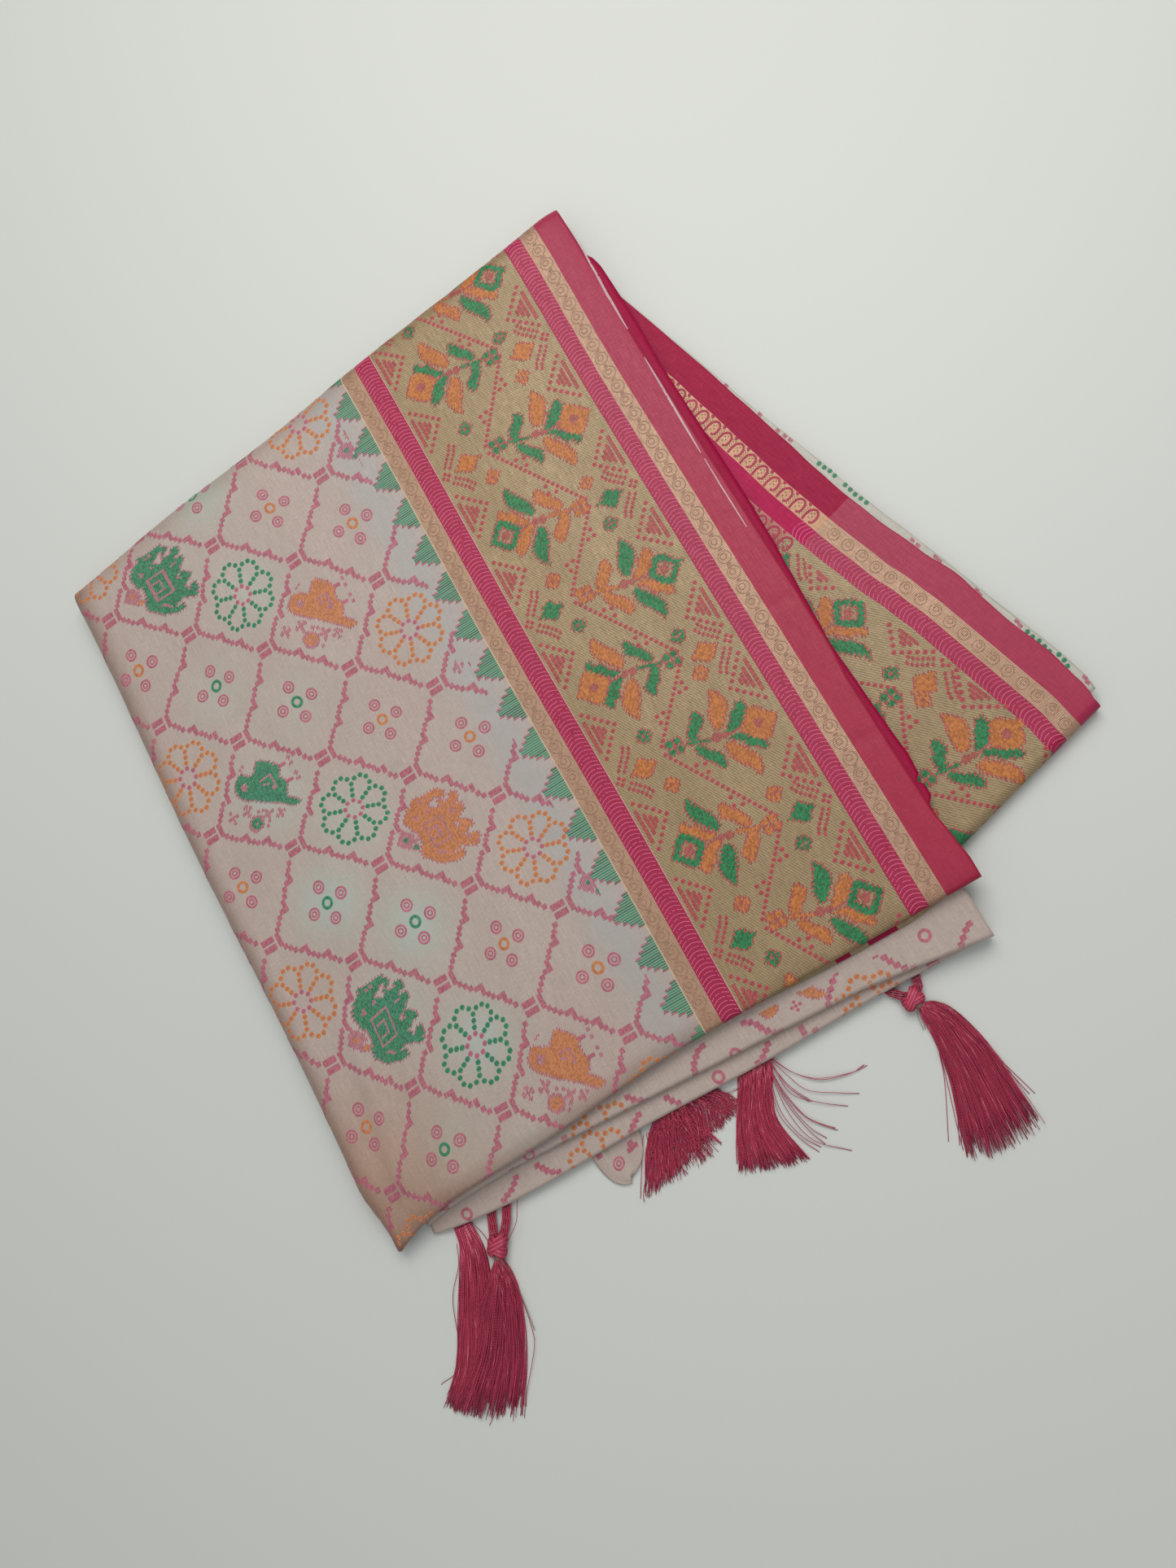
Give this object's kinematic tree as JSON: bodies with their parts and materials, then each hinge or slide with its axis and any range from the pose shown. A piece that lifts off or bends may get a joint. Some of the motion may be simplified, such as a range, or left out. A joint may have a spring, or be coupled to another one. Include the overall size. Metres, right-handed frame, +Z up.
{
  "type": "folded patola saree",
  "caption": "Folded patola silk saree lying flat, with an ogee-lattice body, a broad patterned border, a fanned lower packet and silk tassels along its near fold.",
  "frame": {"origin": "on the flat underside, under the middle of the top panel", "axes": "+X along the weft towards the selvedge, +Y along the warp towards the far fold, +Z up from the table"},
  "size_m": [0.4896, 0.5646, 0.0208],
  "materials": {
    "silver_beige_brocade": "pinkish silver-beige silk brocade with a soft satin sheen",
    "gold_brocade": "khaki-gold zari brocade with a dull metallic sheen",
    "rani_pink_silk": "plain rani pink silk, satin",
    "hidden_layers": "edges of folded silk layers",
    "rose_silk_thread": "dark rose twisted silk thread"
  },
  "bodies": {
    "root": {"folded_layers": "hidden_layers", "second_panel": "rani_pink_silk", "top_panel": "silver_beige_brocade", "turned_edge": "gold_brocade", "upper_strip": "silver_beige_brocade", "lower_strip": "silver_beige_brocade", "fan_under_panel": "silver_beige_brocade", "fan_panel": "gold_brocade", "corner_flap": "silver_beige_brocade", "tassel_1": "rose_silk_thread", "tassel_2": "rose_silk_thread", "tassel_3": "rose_silk_thread", "tassel_4": "rose_silk_thread", "tassel_5": "rose_silk_thread"}
  },
  "joints": []
}
